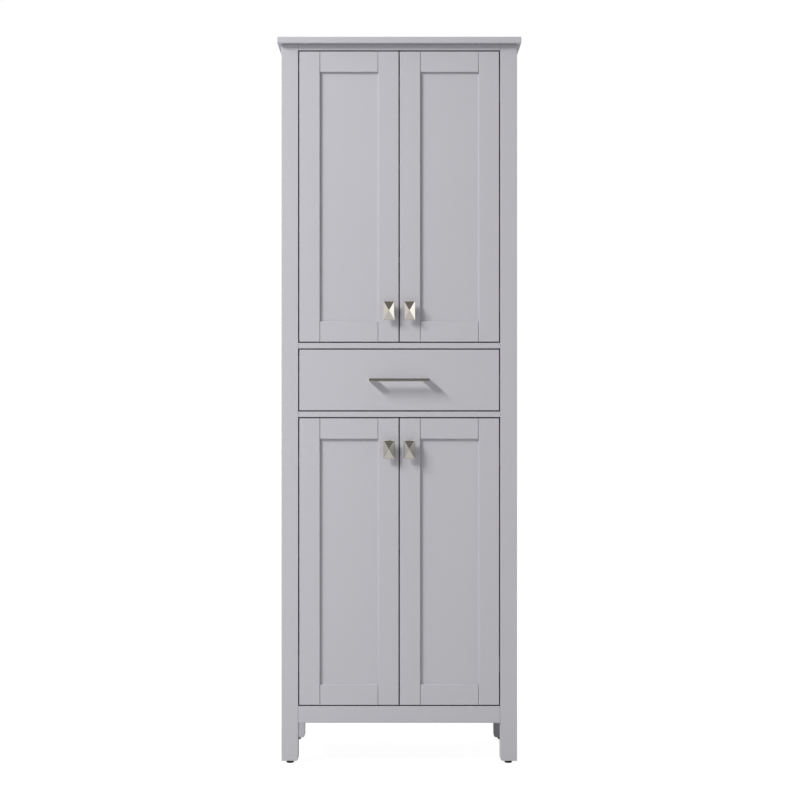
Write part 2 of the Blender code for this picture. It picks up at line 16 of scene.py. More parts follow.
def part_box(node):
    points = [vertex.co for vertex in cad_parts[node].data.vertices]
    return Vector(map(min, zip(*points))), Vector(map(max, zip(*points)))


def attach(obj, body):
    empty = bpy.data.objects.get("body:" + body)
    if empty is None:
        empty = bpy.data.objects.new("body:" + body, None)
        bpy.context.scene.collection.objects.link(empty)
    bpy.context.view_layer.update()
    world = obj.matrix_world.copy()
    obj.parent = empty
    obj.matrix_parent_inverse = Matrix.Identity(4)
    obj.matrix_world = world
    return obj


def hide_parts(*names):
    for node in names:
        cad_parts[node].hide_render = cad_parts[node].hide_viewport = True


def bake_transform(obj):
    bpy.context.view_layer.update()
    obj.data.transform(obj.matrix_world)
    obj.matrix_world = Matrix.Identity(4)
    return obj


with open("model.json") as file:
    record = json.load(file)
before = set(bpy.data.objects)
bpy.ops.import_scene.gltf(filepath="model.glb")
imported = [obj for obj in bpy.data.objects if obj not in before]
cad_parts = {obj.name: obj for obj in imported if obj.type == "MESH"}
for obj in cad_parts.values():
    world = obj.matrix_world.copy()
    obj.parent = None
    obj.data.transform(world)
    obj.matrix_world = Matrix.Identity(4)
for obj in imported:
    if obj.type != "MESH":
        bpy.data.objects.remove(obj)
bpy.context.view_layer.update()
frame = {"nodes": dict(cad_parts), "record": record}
bodies = frame["record"]["behaviour"]["bodies"]
body_of_node = {node: body for body, nodes in bodies.items() for node in nodes}
LEFT, RIGHT = "left", "right"

# %% [markdown]
# ## Sums on sockets
# A finish is a small sum over the surface: this much noise, times a strength, added to a colour. Blender
# does such sums with Math nodes, and a chain of them is hard to read. A class that wraps one output
# socket and overloads Python's operators lets the sum be written as a line of Python, while the nodes
# are added behind it. One method adds every other kind of node.


# %% The class that wraps a socket
class Wire:
    """An output socket in a node tree. + - * on it add the Math or Vector Math node that does the sum."""

    def __init__(self, tree, socket=None):
        self.tree = tree
        self.socket = socket

    def node(self, kind, settings=None, sockets=None, out=0):
        """Adds a node: its settings first, then a value or a wire for each socket."""
        made = self.tree.nodes.new("ShaderNode" + kind)
        for name, value in (settings or {}).items():
            setattr(made, name, value)
        for key, value in (sockets or {}).items():
            if isinstance(value, Wire):
                self.tree.links.new(value.socket, made.inputs[key])
            else:
                made.inputs[key].default_value = value
        return Wire(self.tree, made.outputs[out])

    def beside(self, out):
        """Another output of the node that this wire comes from."""
        return Wire(self.tree, self.socket.node.outputs[out])

    def do_sum(self, operation, first, second):
        wires = [one for one in (first, second) if isinstance(one, Wire)]
        if all(one.socket.type == "VALUE" for one in wires):
            return self.node("Math", {"operation": operation}, {0: first, 1: second})
        return self.node("VectorMath", {"operation": operation}, {0: first, 1: second})

    def __add__(self, other):
        return self.do_sum("ADD", self, other)

    def __radd__(self, other):
        return self.do_sum("ADD", other, self)

    def __rsub__(self, other):
        return self.do_sum("SUBTRACT", other, self)

    def __mul__(self, other):
        return self.do_sum("MULTIPLY", self, other)

    def __rmul__(self, other):
        return self.do_sum("MULTIPLY", other, self)

    def ramp(self, low, high):
        """0 below low, 1 above high, and a smooth rise between them."""
        smooth = {"interpolation_type": "SMOOTHSTEP"}
        return self.node("MapRange", smooth, {"Value": self, "From Min": low, "From Max": high})

    def between(self, first, second):
        """A colour that goes from the first to the second as this wire goes from 0 to 1."""
        # A Mix node keeps its colour sockets after those for numbers and vectors.
        sockets = {0: self, 6: (*first, 1), 7: (*second, 1)}
        return self.node("Mix", {"data_type": "RGBA"}, sockets, out=2)


def noise(tree, place, scale, detail=2.0, roughness=0.5):
    """Cloudy noise from 0 to 1. place may be stretched first, which draws the clouds out into streaks."""
    sockets = {"Vector": place, "Scale": scale, "Detail": detail, "Roughness": roughness}
    return tree.node("TexNoise", {"noise_dimensions": "3D"}, sockets)


OBJECT_OUTPUT = 3  # of a Texture Coordinate node: the place on the object, in metres
sums = [name for name in vars(Wire) if name.endswith(("add__", "sub__", "mul__"))]
print("a wire takes part in these sums:", sums)

# %% [markdown]
# ## The finishes
# The cabinet is sprayed a pale grey with a breath of violet in it. Sprayed paint isn't flat: it dries
# with a fine orange peel, it lets a little of the wood's grain through along each board, and its sheen
# drifts. Each of those is one noise at its own scale. A paint could be a single colour, but then every
# board would look like plastic. The grain runs along a board, so the paint has an upright form and a
# level one. The boards inside had a flatter coat, and the drawer's sides run from front to back.


# %% Paint
def new_finish(name, metallic=0.0):
    """A material with one Principled shader, and a wire to start its sums from."""
    material = bpy.data.materials.new(name)
    material.use_nodes = True
    shader = material.node_tree.nodes["Principled BSDF"]
    shader.inputs["Metallic"].default_value = metallic
    return material, shader, Wire(material.node_tree)


def feed(shader, **wires):
    """Links each wire to the shader's socket of that name, with its spaces as underscores."""
    for name, wire in wires.items():
        wire.tree.links.new(wire.socket, shader.inputs[name.replace("_", " ")])


def bumps(tree, height, distance, strength, under=None):
    """A normal that follows height, which is in units of distance. under is a normal to build on."""
    sockets = {"Strength": strength, "Distance": distance, "Height": height}
    if under:
        sockets["Normal"] = under
    return tree.node("Bump", sockets=sockets)


PAINT_COLOUR = Vector((0.527, 0.520, 0.553))
PAINT_DRIFT = 0.025  # how much the shade wanders to each side of its mean
CLOUDS_PER_METRE = 2.3
ORANGE_PEEL = 0.0011  # metres from one bump to the next
GRAIN_LENGTH = 0.18
GRAIN_WIDTH = 0.004
PAINT_RELIEF = 0.00003  # height of the grain and of the orange peel under the paint
OUTSIDE_SHEEN = 0.36
INSIDE_SHEEN = 0.48


def paint(name, grain_axis, sheen):
    material, shader, tree = new_finish(name)
    place = tree.node("TexCoord", out=OBJECT_OUTPUT)
    frequency = [1 / GRAIN_WIDTH] * 3
    frequency["XYZ".index(grain_axis)] = 1 / GRAIN_LENGTH
    grain = noise(tree, place * frequency, 1.0, detail=3.0, roughness=0.6)
    drift = noise(tree, place, CLOUDS_PER_METRE)
    peel = noise(tree, place, 1 / ORANGE_PEEL, detail=1.0)
    shade = drift * 0.7 + grain * 0.3
    under = bumps(tree, grain, PAINT_RELIEF, 0.5)
    feed(
        shader,
        Base_Color=shade.between(PAINT_COLOUR * (1 - PAINT_DRIFT), PAINT_COLOUR * (1 + PAINT_DRIFT)),
        Roughness=sheen + drift * 0.08 + peel * 0.05,
        Normal=bumps(tree, peel, PAINT_RELIEF, 0.35, under),
    )
    shader.inputs["Specular IOR Level"].default_value = 0.4
    return material


PAINT_UPRIGHT = paint("grey_paint_upright", "Z", OUTSIDE_SHEEN)
PAINT_LEVEL = paint("grey_paint_level", "X", OUTSIDE_SHEEN)
INSIDE_LEVEL = paint("inside_paint_level", "X", INSIDE_SHEEN)
INSIDE_UPRIGHT = paint("inside_paint_upright", "Z", INSIDE_SHEEN)
INSIDE_DEEP = paint("inside_paint_front_to_back", "Y", INSIDE_SHEEN)
print("paint colour", [round(value, 3) for value in PAINT_COLOUR])

# %% [markdown]
# ## Metal and nylon
# The knobs and the handle are nickel plate over brass or zinc, brushed before the plating, so fine lines
# run along them and spread every reflection sideways. The hinges and slides are pressed steel with a
# bright zinc plate, which has a faint cloudy bloom. The glides are black nylon. Brushing could be done
# with an anisotropic shader, but noise stretched into streaks shows each line and also bakes.


# %% Metal and nylon
BRUSH_WIDTH = 0.00035
BRUSH_LENGTH = 0.03
NICKEL_DARK, NICKEL_LIGHT = (0.60, 0.57, 0.515), (0.74, 0.71, 0.66)
ZINC_DARK, ZINC_LIGHT = (0.50, 0.51, 0.53), (0.70, 0.70, 0.69)
NYLON_CLEAN, NYLON_DUSTY = (0.011, 0.011, 0.012), (0.035, 0.033, 0.031)


def nickel(name, brush_axis, polish):
    material, shader, tree = new_finish(name, metallic=1.0)
    place = tree.node("TexCoord", out=OBJECT_OUTPUT)
    frequency = [1 / BRUSH_WIDTH] * 3
    frequency["XYZ".index(brush_axis)] = 1 / BRUSH_LENGTH
    lines = noise(tree, place * frequency, 1.0)
    bloom = noise(tree, place, 90.0)
    feed(
        shader,
        Base_Color=(lines * 0.6 + bloom * 0.4).between(NICKEL_DARK, NICKEL_LIGHT),
        Roughness=polish + lines * 0.08,
        Normal=bumps(tree, lines, 0.00001, 0.25),
    )
    return material


def plated_steel(name):
    material, shader, tree = new_finish(name, metallic=1.0)
    place = tree.node("TexCoord", out=OBJECT_OUTPUT)
    bloom = noise(tree, place, 160.0, detail=3.0)
    cloud = noise(tree, place, 30.0)
    feed(
        shader,
        Base_Color=(bloom * 0.6 + cloud * 0.4).between(ZINC_DARK, ZINC_LIGHT),
        Roughness=0.20 + bloom * 0.22,
        Normal=bumps(tree, bloom, 0.00002, 0.3),
    )
    return material


def nylon(name):
    material, shader, tree = new_finish(name)
    place = tree.node("TexCoord", out=OBJECT_OUTPUT)
    pits = noise(tree, place, 2500.0)
    dust = noise(tree, place, 220.0, detail=4.0).ramp(0.5, 0.75)
    feed(
        shader,
        Base_Color=dust.between(NYLON_CLEAN, NYLON_DUSTY),
        Roughness=0.42 + pits * 0.2,
        Normal=bumps(tree, pits, 0.00002, 0.4),
    )
    return material


NICKEL_UPRIGHT = nickel("brushed_nickel_upright", "Z", 0.04)
NICKEL_LEVEL = nickel("brushed_nickel_level", "X", 0.10)
STEEL = plated_steel("zinc_plated_steel")
NYLON = nylon("black_nylon")
print("metals:", NICKEL_UPRIGHT.name, NICKEL_LEVEL.name, STEEL.name)

# %% [markdown]
# ## Shapes to build with
# A cabinet is mostly boards, and no real board has a knife edge: sanding and paint round it over by a
# millimetre or so, and that roundness catches the light as a fine bright line. So a board here is a
# box whose edges get a real bevel. A Bevel modifier could do it, but the holes and grooves are cut after
# the edges are rounded, and the cuts stay sharp, as a router leaves them. Normals are then weighted by
# area, so that the flat faces stay flat to the light right up to the rounding.

# %% Boards, prisms and turned shapes
SHARP = math.radians(35)
ROUND_STEPS = 3


def box_shape(low, high):
    shape = bmesh.new()
    bmesh.ops.create_cube(shape, size=1)
    bmesh.ops.scale(shape, verts=shape.verts, vec=Vector(high) - Vector(low))
    bmesh.ops.translate(shape, verts=shape.verts, vec=(Vector(high) + Vector(low)) / 2)
    return shape


def round_edges(shape, radius, chosen=None, steps=ROUND_STEPS):
    """Rounds the sharp edges of a shape, or those of them that chosen picks."""
    edges = [one for one in shape.edges if one.calc_face_angle(0) > SHARP]
    edges = [one for one in edges if chosen is None or chosen(one)]
    bmesh.ops.bevel(
        shape,
        geom=edges,
        offset=radius,
        offset_type="OFFSET",
        segments=steps,
        profile=0.5,
        affect="EDGES",
        clamp_overlap=True,
    )


def prism_shape(ring, axis, span):
    """A flat ring of points, each given on the two other axes, drawn out along an axis over span."""
    shape = bmesh.new()
    place = "XYZ".index(axis)
    points = []
    for pair in ring:
        point = list(pair)
        point.insert(place, span[0])
        points.append(shape.verts.new(point))
    face = shape.faces.new(points)
    drawn = bmesh.ops.extrude_face_region(shape, geom=[face])["geom"]
    travel = Vector()
    travel[place] = span[1] - span[0]
    moved = [one for one in drawn if isinstance(one, bmesh.types.BMVert)]
    bmesh.ops.translate(shape, verts=moved, vec=travel)
    bmesh.ops.recalc_face_normals(shape, faces=shape.faces)
    return shape


def turned_shape(profile, steps, at=(0, 0, 0), facing=(0, 0, 1)):
    """A profile of (radius, height) points spun round, then stood at a place to face a direction."""
    shape = bmesh.new()
    points = [shape.verts.new((radius, 0, height)) for radius, height in profile]
    edges = [shape.edges.new(pair) for pair in zip(points, points[1:])]
    bmesh.ops.spin(
        shape,
        geom=points + edges,
        cent=(0, 0, 0),
        axis=(0, 0, 1),
        angle=2 * math.pi,
        steps=steps,
        use_merge=True,
    )
    bmesh.ops.remove_doubles(shape, verts=shape.verts, dist=1e-7)
    bmesh.ops.recalc_face_normals(shape, faces=shape.faces)
    turn = Vector(facing).to_track_quat("Z", "Y").to_matrix().to_4x4()
    bmesh.ops.transform(shape, matrix=Matrix.Translation(at) @ turn, verts=shape.verts)
    return shape


def rod_shape(at, facing, radius, length, steps=24):
    return turned_shape([(0, 0), (radius, 0), (radius, length), (0, length)], steps, at, facing)


def merged(shapes):
    """Several shapes as one, each still a body of its own."""
    whole = shapes[0]
    for shape in shapes[1:]:
        spare = bpy.data.meshes.new("spare")
        shape.to_mesh(spare)
        shape.free()
        whole.from_mesh(spare)
        bpy.data.meshes.remove(spare)
    return whole


print("edges over", round(math.degrees(SHARP)), "degrees are rounded in", ROUND_STEPS, "steps")


# %% Objects, cuts and normals
def new_object(name, shape):
    mesh = bpy.data.meshes.new(name)
    shape.to_mesh(mesh)
    shape.free()
    obj = bpy.data.objects.new(name, mesh)
    bpy.context.scene.collection.objects.link(obj)
    return obj


def settle(obj):
    """Makes an object's modifiers part of its mesh."""
    graph = bpy.context.evaluated_depsgraph_get()
    mesh = bpy.data.meshes.new_from_object(obj.evaluated_get(graph))
    obj.modifiers.clear()
    obj.data = mesh
    return obj


def carve(obj, shapes, operation="DIFFERENCE"):
    """Cuts the shapes out of an object, or joins them to it."""
    tool = new_object(obj.name + "_tool", merged(shapes))
    modifier = obj.modifiers.new("carve", "BOOLEAN")
    modifier.operation = operation
    modifier.object = tool
    settle(obj)
    bpy.data.objects.remove(tool)
    return obj


def dress(obj, finish, body, replaces=(), sharp=SHARP):
    """Gives a piece its normals and its finish, and lets it ride on a body of the cabinet."""
    obj.data.shade_smooth()
    obj.data.set_sharp_from_angle(angle=sharp)
    weighted = obj.modifiers.new("flat_faces_stay_flat", "WEIGHTED_NORMAL")
    weighted.keep_sharp = True
    settle(obj)
    obj.data.materials.clear()
    obj.data.materials.append(finish)
    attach(obj, body)
    if replaces:
        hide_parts(*replaces)
    return obj


def stand_for(node, shape, finish, cuts=()):
    """A piece that stands for one node of the packed model, and takes its body from it."""
    obj = new_object(node + "_piece", shape)
    if cuts:
        carve(obj, list(cuts))
    return dress(obj, finish, body_of_node[node], [node])


def board(node, finish, radius, cuts=()):
    """The board in a node's place, with its edges rounded."""
    shape = box_shape(*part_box(node))
    round_edges(shape, radius)
    return stand_for(node, shape, finish, cuts)


FIT = 0.0003  # the gap that the model keeps between fastened pieces
TONGUE = 0.008  # how far a panel reaches into its groove
EDGE = 0.001  # rounding of the painted edges
THIN_EDGE = 0.0003  # of the thin panels
PAST = 0.01  # how far a cutter runs past what it cuts
print("painted edges are rounded to", EDGE * 1000, "mm")

# %% [markdown]
# ## Top, rails, decks
# The top board is a single 16 mm board with its edges just broken. The rails and the two decks whose
# edges show on the face are plain boards. A deck is notched round the four legs, and the notches are
# cut from the rounded board, so its front edge keeps the soft line that shows beside the reveal.

# %% Top, rails and decks
TOP_EDGE = 0.0015
board("top_board", PAINT_LEVEL, TOP_EDGE)
board("top_rail", PAINT_LEVEL, EDGE)
board("bottom_rail", PAINT_LEVEL, EDGE)

leg_boxes = {
    f"{end}_{side}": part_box(f"{end}_{side}_leg") for end in ("front", "rear") for side in (LEFT, RIGHT)
}


def leg_notches(low, high):
    """A box round each leg, with a small gap on the deck's side of it and room to spare on the others."""
    shapes = []
    for name, (leg_low, leg_high) in leg_boxes.items():
        x = (PAST, FIT) if name.endswith(LEFT) else (FIT, PAST)
        y = (PAST, FIT) if name.startswith("front") else (FIT, PAST)
        from_corner = (leg_low.x - x[0], leg_low.y - y[0], low.z - PAST)
        to_corner = (leg_high.x + x[1], leg_high.y + y[1], high.z + PAST)
        shapes.append(box_shape(from_corner, to_corner))
    return shapes


for deck in ("bottom_deck", "drawer_deck", "upper_deck"):
    finish = INSIDE_LEVEL if deck == "bottom_deck" else PAINT_LEVEL
    board(deck, finish, EDGE, leg_notches(*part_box(deck)))
print("top board, rails and decks made")

# %% [markdown]
# ## Legs and glides
# Each leg is one square post from the glide to the top board. Its foot is rounded on the inner side
# and only broken on the outer side. The foot is rounded first and the long edges after it, so
# their bevel follows the curve. Grooves take the side and back panels, and a bore takes the glide's
# nail. The glides are turned discs.

# %% Legs and glides
FOOT_RADIUS = 0.007
LEG_EDGE = 0.0012
NAIL_BORE = 0.0028
NAIL_RADIUS = 0.0025
panel_boxes = {side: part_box(f"{side}_side_panel") for side in (LEFT, RIGHT)}
back_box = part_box("back_panel")


def groove(low, high):
    """A box that a panel's edge sits in, a little larger than the panel all round."""
    return box_shape(Vector(low) - Vector((FIT,) * 3), Vector(high) + Vector((FIT,) * 3))


def leg(end, side):
    node = f"{end}_{side}_leg"
    low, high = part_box(node)
    inner = high.x if side == LEFT else low.x
    shape = box_shape(low, high)

    def is_foot(edge):
        middle = (edge.verts[0].co + edge.verts[1].co) / 2
        return abs(middle.x - inner) < 1e-4 and abs(middle.z - low.z) < 1e-4

    round_edges(shape, FOOT_RADIUS, is_foot, steps=6)
    round_edges(shape, LEG_EDGE)
    cuts = [groove(*panel_boxes[side])]
    if end == "rear":
        cuts.append(groove(*back_box))
    glide_low, glide_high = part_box(f"{end}_{side}_glide")
    centre = (glide_low + glide_high) / 2
    cuts.append(rod_shape((centre.x, centre.y, 0), (0, 0, 1), NAIL_BORE, glide_high.z + FIT, 12))
    return stand_for(node, shape, PAINT_UPRIGHT, cuts)


def glide(end, side):
    node = f"{end}_{side}_glide"
    low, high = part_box(node)
    radius = (high.x - low.x) / 2
    disc = leg_boxes[f"{end}_{side}"][0].z - low.z
    profile = [
        (0, 0.0004),
        (radius * 0.55, 0.0004),
        (radius * 0.6, 0),
        (radius - 0.0016, 0),
        (radius - 0.0004, 0.0006),
        (radius, 0.0018),
        (radius, disc - 0.0008),
        (radius - 0.0006, disc),
        (NAIL_RADIUS, disc),
        (NAIL_RADIUS, high.z - 0.003),
        (0, high.z),
    ]
    centre = ((low.x + high.x) / 2, (low.y + high.y) / 2, low.z)
    return stand_for(node, turned_shape(profile, 40, centre), NYLON)


for end in ("front", "rear"):
    for side in (LEFT, RIGHT):
        leg(end, side)
        glide(end, side)
print("four legs, each", round(leg_boxes["front_left"][1].x - leg_boxes["front_left"][0].x, 4), "m square")

# %% [markdown]
# ## Sides, back and shelves
# The shelves are loose. Each rests on four steel pins, and each side panel has two rows of 5 mm holes, 32 mm
# from one hole to the next, so that a shelf can be moved. A hole could be painted on as a dark dot, but
# a real one shows its depth from every side, and one Boolean cuts a whole panel's holes at once.

# %% Sides with pin holes, the back, shelves and their pins
PIN_RADIUS = 0.0025
PIN_COLLAR = 0.0042
PIN_BEARER = 0.003
PIN_PITCH = 0.032
HOLE_DEPTH = 0.009
HOLES_EACH_WAY = 2  # above and below the hole that a pin is in
SHELVES = ("upper_shelf_1", "upper_shelf_2", "lower_shelf")
SHELF_EDGE = 0.0012
ROW_INSET = 0.045  # from a shelf's front and rear edges to the rows of holes
HOLE_CLEARANCE = 0.0001
HOLE_LEAD = 0.002  # how far in front of the panel a hole's cutter starts
SIDE_EDGE, BACK_EDGE = 0.0005, 0.0004


def pin_places(shelf):
    """The depth and the height of the pins at one end of a shelf."""
    low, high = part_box(shelf)
    return [(y, low.z - PIN_BEARER) for y in (low.y + ROW_INSET, high.y - ROW_INSET)]


def pin_holes(side):
    low, high = panel_boxes[side]
    face = high.x if side == LEFT else low.x
    outward = -1 if side == LEFT else 1
    radius = PIN_RADIUS + HOLE_CLEARANCE
    shapes = []
    for shelf in SHELVES:
        for y, z in pin_places(shelf):
            for step in range(-HOLES_EACH_WAY, HOLES_EACH_WAY + 1):
                at = (face - outward * HOLE_LEAD, y, z + step * PIN_PITCH)
                shapes.append(rod_shape(at, (outward, 0, 0), radius, HOLE_DEPTH + HOLE_LEAD, 16))
    return shapes


def pin_shape(x, y, z, outward):
    """A steel shelf pin: a peg in the side panel, a collar against it and a bearer under the shelf."""
    profile = [
        (0, HOLE_DEPTH - 0.001),
        (PIN_RADIUS - 0.0004, HOLE_DEPTH - 0.001),
        (PIN_RADIUS, HOLE_DEPTH - 0.0015),
        (PIN_RADIUS, 0),
        (PIN_COLLAR, 0),
        (PIN_COLLAR, -0.0012),
        (PIN_BEARER, -0.0016),
        (PIN_BEARER, -0.0095),
        (0.0024, -0.0101),
        (0, -0.0101),
    ]
    return turned_shape(profile, 20, (x, y, z), (outward, 0, 0))


for side in (LEFT, RIGHT):
    board(f"{side}_side_panel", PAINT_UPRIGHT, SIDE_EDGE, pin_holes(side))
board("back_panel", INSIDE_UPRIGHT, BACK_EDGE)
for shelf in SHELVES:
    board(shelf, INSIDE_LEVEL, SHELF_EDGE)
    pins = []
    for outward, face in ((-1, panel_boxes[LEFT][1].x), (1, panel_boxes[RIGHT][0].x)):
        pins += [pin_shape(face, y, z, outward) for y, z in pin_places(shelf)]
    dress(new_object(shelf + "_pins", merged(pins)), STEEL, "cabinet")
print("pin holes in each side:", len(SHELVES) * 2 * (2 * HOLES_EACH_WAY + 1))

# %% [markdown]
# ## Screws
# Every fitting is held by screws with a cross recess. One head is turned and its cross is cut once; each
# screw in the cabinet is then a scaled and turned copy of that mesh, joined to the others of its fitting.

# %% One screw head, and rows of copies
FITTING_SCREW = 0.0042  # head radius of the screws through a door or the drawer's front
HINGE_SCREW = 0.0036
ADJUSTING_SCREW = 0.0028
SLIDE_SCREW = 0.0024
head_profile = [(0, 0), (1, 0), (1, 0.12), (0.93, 0.3), (0.72, 0.48), (0.4, 0.58), (0, 0.62)]
screw_head = new_object("screw_head", turned_shape(head_profile, 28))
for x, y in ((0.58, 0.13), (0.13, 0.58)):
    carve(screw_head, [box_shape((-x, -y, 0.22), (x, y, 1))])
head_mesh = screw_head.data
bpy.data.objects.remove(screw_head)


def screws(name, body, places, facing, radius):
    """Screw heads of one fitting, each turned a little differently, as a hand leaves them."""
    whole = bmesh.new()
    for count, at in enumerate(places):
        copy = head_mesh.copy()
        turn = Vector(facing).to_track_quat("Z", "Y").to_matrix().to_4x4()
        spin = Matrix.Rotation(0.6 + 1.1 * count, 4, "Z")
        copy.transform(Matrix.Translation(at) @ turn @ spin @ Matrix.Scale(radius, 4))
        whole.from_mesh(copy)
        bpy.data.meshes.remove(copy)
    return dress(new_object(name, whole), STEEL, body)


print("screw head:", len(head_mesh.polygons), "faces")

# %% [markdown]
# ## Doors
# Each door has two stiles that run its full height and two rails between them. They are separate boards,
# so a fine dark line shows where a rail meets a stile. Paint fills such a joint further in but not at its
# face, so the rail is cut back a little along each end of its face. A groove round the inside holds the
# flat panel, and the rails have tongues in the stiles' grooves. One frame with lines scratched in it would
# do from afar, but four real boards show their joints on the door's back as well.

# %% Stiles, rails and panels
STILE_EDGE = 0.0009
RAIL_EDGE = 0.0006
SEAM_WIDTH = 0.0012  # how far a rail's face stops short of the stile
SEAM_DEPTH = 0.0025
HAIRLINE = 0.00005  # between the rest of a rail and the stile
TONGUE_INSET = 0.001  # from a rail's outer edge to the end of its tongues
CUP_BORE = 0.0178  # the bores' radii
KNOB_BORE = 0.0022
CUP_BORE_DEPTH = 0.02
DOORS = [f"{level}_{side}_door" for level in ("upper", "lower") for side in (LEFT, RIGHT)]


def door_sizes(door):
    """The frame's box, and the box of the opening in it that the panel fills."""
    low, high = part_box(door + "_frame")
    panel_low, panel_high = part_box(door + "_panel")
    inset = Vector((TONGUE, 0, TONGUE))
    return low, high, panel_low + inset, panel_high - inset


def centre_of(node):
    low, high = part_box(node)
    return (low + high) / 2


def stile(door, word, x, is_hinged):
    low, high, open_low, open_high = door_sizes(door)
    shape = box_shape((x[0], low.y, low.z), (x[1], high.y, high.z))
    round_edges(shape, STILE_EDGE)
    if word == LEFT:
        groove_x = (x[1] - TONGUE - FIT, x[1] + PAST)
    else:
        groove_x = (x[0] - PAST, x[0] + TONGUE + FIT)
    cuts = [
        box_shape(
            (groove_x[0], open_low.y - FIT, low.z - PAST),
            (groove_x[1], open_high.y + FIT, high.z + PAST),
        )
    ]
    if is_hinged:
        for end in ("lower", "upper"):
            centre = centre_of(f"{door}_{end}_hinge_cup")
            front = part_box(f"{door}_{end}_hinge_cup")[0].y - FIT
            cuts.append(rod_shape((centre.x, front, centre.z), (0, 1, 0), CUP_BORE, CUP_BORE_DEPTH, 48))
    else:
        centre = centre_of(door + "_knob")
        through = high.y - low.y + 2 * PAST
        cuts.append(rod_shape((centre.x, low.y - PAST, centre.z), (0, 1, 0), KNOB_BORE, through, 16))
    piece = new_object(f"{door}_{word}_stile", shape)
    carve(piece, cuts)
    return dress(piece, PAINT_UPRIGHT, door, [door + "_frame"])


def rail(door, word, z, at_bottom):
    low, high, open_low, open_high = door_sizes(door)
    x = (open_low.x + HAIRLINE, open_high.x - HAIRLINE)
    seam_x = (x[0] + SEAM_WIDTH, x[1] - SEAM_WIDTH)
    seam_y = low.y + SEAM_DEPTH
    ring = [
        (seam_x[0], low.y),
        (seam_x[1], low.y),
        (seam_x[1], seam_y),
        (x[1], seam_y),
        (x[1], high.y),
        (x[0], high.y),
        (x[0], seam_y),
        (seam_x[0], seam_y),
    ]
    shape = prism_shape(ring, "Z", z)

    def is_on_face(edge):
        return all(v.co.y < low.y + 1e-5 or v.co.y > high.y - 1e-5 for v in edge.verts)

    round_edges(shape, RAIL_EDGE, is_on_face)
    piece = new_object(f"{door}_{word}_rail", shape)
    inner, outer = (z[1], z[0]) if at_bottom else z
    into = -1 if at_bottom else 1
    groove_z = sorted((inner + into * (TONGUE + FIT), inner - into * PAST))
    groove_y = (open_low.y - FIT, open_high.y + FIT)
    carve(piece, [box_shape((low.x, groove_y[0], groove_z[0]), (high.x, groove_y[1], groove_z[1]))])
    tongue_z = sorted((inner + into * (TONGUE + 2 * FIT), outer - into * TONGUE_INSET))
    tongues = []
    for start, end in ((open_low.x - TONGUE, open_low.x + PAST), (open_high.x - PAST, open_high.x + TONGUE)):
        tongues.append(box_shape((start, open_low.y, tongue_z[0]), (end, open_high.y, tongue_z[1])))
    carve(piece, tongues, "UNION")
    return dress(piece, PAINT_LEVEL, door)


for door in DOORS:
    low, high, open_low, open_high = door_sizes(door)
    hinge_on_left = LEFT in door
    stile(door, LEFT, (low.x, open_low.x), hinge_on_left)
    stile(door, RIGHT, (open_high.x, high.x), not hinge_on_left)
    rail(door, "bottom", (low.z, open_low.z), True)
    rail(door, "top", (open_high.z, high.z), False)
    board(door + "_panel", PAINT_UPRIGHT, THIN_EDGE)
print("doors:", DOORS, "stile width", round(open_low.x - low.x, 4))

# %% [markdown]
# ## Knobs
# A knob is an oblong plate with a narrow chamfer round its face, and inside the chamfer four facets rise
# to one point. Each facet mirrors a different part of the room, so one is bright and the next dark, and
# that only works if the facets are truly flat. So the plate is a box, its front edges get a one-step
# bevel, the face left inside them is poked to a point, and the four ridges are eased by a hair.

# %% Knobs
KNOB_PEAK = 0.009
KNOB_PLATE = 0.003
KNOB_CHAMFER = 0.0013
RIDGE_EASE = 0.0004
BACK_EASE = 0.0006
NECK_FOOT = 0.0085
CRISP = math.radians(12)  # the chamfer meets a facet at only 23 degrees, and that edge has to stay crisp


def knob(door):
    node = door + "_knob"
    low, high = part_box(node)
    face_y, back_y = low.y + KNOB_PEAK, low.y + KNOB_PEAK + KNOB_PLATE
    shape = box_shape((low.x, face_y, low.z), (high.x, back_y, high.z))
    round_edges(shape, KNOB_CHAMFER, lambda edge: all(v.co.y < face_y + 1e-5 for v in edge.verts), steps=1)
    face = min(shape.faces, key=lambda one: one.calc_center_median().y)
    peak = bmesh.ops.poke(shape, faces=[face])["verts"][0]
    peak.co.y = low.y + RIDGE_EASE
    ridges = list(peak.link_edges)
    bmesh.ops.bevel(shape, geom=ridges, offset=RIDGE_EASE, segments=2, profile=0.5, affect="EDGES")
    round_edges(shape, BACK_EASE, lambda edge: all(v.co.y > back_y - 1e-5 for v in edge.verts), steps=2)
    centre = (low + high) / 2
    neck = high.y - back_y + 0.001  # its end is sunk into the plate
    profile = [
        (0, 0),
        (NECK_FOOT, 0),
        (NECK_FOOT, 0.001),
        (0.0070, 0.0022),
        (0.0056, 0.0045),
        (0.0054, 0.0085),
        (0.0062, 0.0115),
        (NECK_FOOT, 0.0138),
        (NECK_FOOT, neck),
        (0, neck),
    ]
    piece = new_object(node + "_piece", shape)
    carve(piece, [turned_shape(profile, 40, (centre.x, high.y, centre.z), (0, -1, 0))], "UNION")
    dress(piece, NICKEL_UPRIGHT, door, [node], CRISP)
    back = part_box(door + "_frame")[1].y
    screws(door + "_knob_screw", door, [(centre.x, back, centre.z)], (0, 1, 0), FITTING_SCREW)


for door in DOORS:
    knob(door)
knob_low, knob_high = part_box(DOORS[0] + "_knob")
print("knob", [round(value, 4) for value in knob_high - knob_low])
